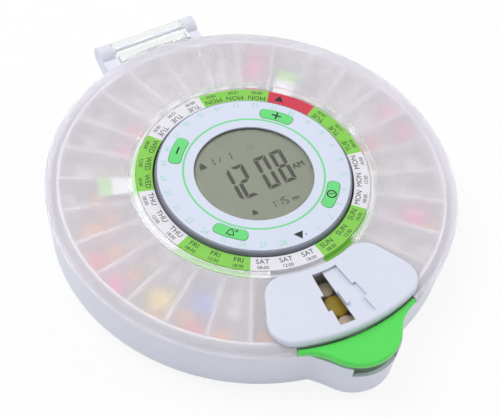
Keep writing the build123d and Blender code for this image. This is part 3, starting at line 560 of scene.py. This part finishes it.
def tablet(bm, x, y, z, radius, turn):
    """A round tablet with domed faces and a rounded edge, lying on a height."""
    rim = [(0.0, 1.0), (0.45, 0.94), (0.75, 0.8), (0.93, 0.62), (1.0, 0.4), (1.0, 0.0)]
    profile = rim + [(r, -h) for r, h in reversed(rim[:-1])]
    place = Matrix.Translation((x * mm, y * mm, z + pill_t * mm / 2)) @ Matrix.Rotation(radians(turn), 4, "Z")
    rows = []
    for r, h in profile:
        high = h * pill_t * mm / 2
        if r == 0:
            rows.append([bm.verts.new(place @ Vector((0, 0, high)))])
            continue
        rows.append([bm.verts.new(place @ Vector((r * radius * mm * cos(tau * k / pill_sides),
                                                  r * radius * mm * sin(tau * k / pill_sides), high)))
                     for k in range(pill_sides)])
    for upper, lower in zip(rows, rows[1:]):
        for k in range(pill_sides):
            j = (k + 1) % pill_sides
            if len(upper) == 1:
                bm.faces.new((upper[0], lower[k], lower[j]))
            elif len(lower) == 1:
                bm.faces.new((upper[k], lower[0], upper[j]))
            else:
                bm.faces.new((upper[k], lower[k], lower[j], upper[j]))


def pills():
    """Tablets piled in the cells, with those that show through the lid on top."""
    draw = random.Random(7)
    meshes = {color: bmesh.new() for color in pill_colors}

    def lay(color, r, across, radius, angle, z):
        x, y = polar(r, angle)
        tx, ty = polar(across, angle + 90)
        tablet(meshes[color], x + tx, y + ty, z, radius, draw.uniform(0, 180))

    for cell in range(cells):
        angle = home_angle + cell * cell_step
        for layer in range(pill_layers):
            z = tray_z + layer * (pill_t + pill_gap) * mm
            top = shown_pills.get(cell, []) if layer == pill_layers - 1 else []
            placed = []
            for color, r, across, radius in top:
                placed.append((r, radius))
                lay(color, r, across, radius, angle, z)
            for r in pill_rows:
                radius, across = draw.uniform(*plain_radius), draw.uniform(*plain_across)
                color = draw.choice(plain_pills)
                near = any(abs(r - other) < radius + size + pill_room for other, size in placed)
                if near or draw.random() < left_out:
                    continue
                placed.append((r, radius))
                lay(color, r, across, radius, angle, z)
    for color, bm in meshes.items():
        look = plastic(f"pill_{color}", pill_colors[color], 0.45, grain=(1800, 0.03))
        piece(f"pills_{color}", bm, look, "tray", smooth=True)


# ---- the floor and the light -------------------------------------------------------------------
floor_half = 1.5                         # half the floor's width in metres
floor_glow = 0.86                        # how much of the floor's own white the eye sees
fill_color, fill_strength = (0.93, 0.95, 1.0, 1), 0.52
white = (1, 1, 1, 1)
lamps = {"key": ((-0.35, 0.45, 1.1), 0.9, 7.4), "side": ((0.9, -0.2, 0.7), 0.7, 2.5)}    # place, size, watts


def floor():
    """A white floor that keeps the object's shadow. It glows only where it is seen directly, in a
    reflection or through clear plastic, so it adds no light to the object."""
    bm = bmesh.new()
    for x, y in rect(-floor_half, -floor_half, floor_half, floor_half):
        bm.verts.new((x, y, feet_z))
    bm.verts.ensure_lookup_table()
    bm.faces.new(bm.verts)
    data = bpy.data.meshes.new("floor")
    bm.to_mesh(data)
    bm.free()
    g = Graph("floor_white")
    matt = g.add("ShaderNodeBsdfDiffuse", {"Color": g.vary(tone(250, 250, 252), 0.005, 3)})
    glow = g.add("ShaderNodeEmission", {"Color": white, "Strength": 1.0})
    rays = g.add("ShaderNodeLightPath").outputs
    seen = g.math("MAXIMUM", g.math("MAXIMUM", rays["Is Camera Ray"], rays["Is Glossy Ray"]),
                  rays["Is Transmission Ray"])
    direct = g.math("LESS_THAN", rays["Diffuse Depth"], 0.5)
    share = g.math("MULTIPLY", g.math("MULTIPLY", seen, direct), floor_glow)
    mixed = g.add("ShaderNodeMixShader", {0: share, 1: matt.outputs["BSDF"], 2: glow.outputs["Emission"]})
    data.materials.append(g.finish(mixed.outputs["Shader"]))
    obj = bpy.data.objects.new("floor", data)
    scene.collection.objects.link(obj)


def lamp(name, place, size, power):
    """A round soft lamp that faces the object."""
    data = bpy.data.lights.new(name, "AREA")
    data.shape, data.size, data.energy = "DISK", size, power
    obj = bpy.data.objects.new(name, data)
    scene.collection.objects.link(obj)
    obj.location = place
    obj.rotation_euler = (-Vector(place)).to_track_quat("-Z", "Y").to_euler()


def light():
    """A soft fill that shows as plain white behind the object and through its clear plastic."""
    scene.world = bpy.data.worlds.new("studio")
    g = Nodes(scene.world)
    fill = g.add("ShaderNodeBackground", {"Color": fill_color, "Strength": fill_strength})
    behind = g.add("ShaderNodeBackground", {"Color": white, "Strength": 1.0})
    rays = g.add("ShaderNodeLightPath").outputs
    direct = g.math("LESS_THAN", rays["Diffuse Depth"], 0.5)
    through = g.math("MULTIPLY", rays["Is Transmission Ray"], direct)
    share = g.math("MAXIMUM", rays["Is Camera Ray"], through)
    mixed = g.add("ShaderNodeMixShader", {0: share, 1: fill.outputs[0], 2: behind.outputs[0]})
    g.add("ShaderNodeOutputWorld", {"Surface": mixed.outputs[0]})
    for name, (place, size, power) in lamps.items():
        lamp(name, place, size, power)


display_print()
button_icons()
clock()
ring_print()
pills()
floor()
light()
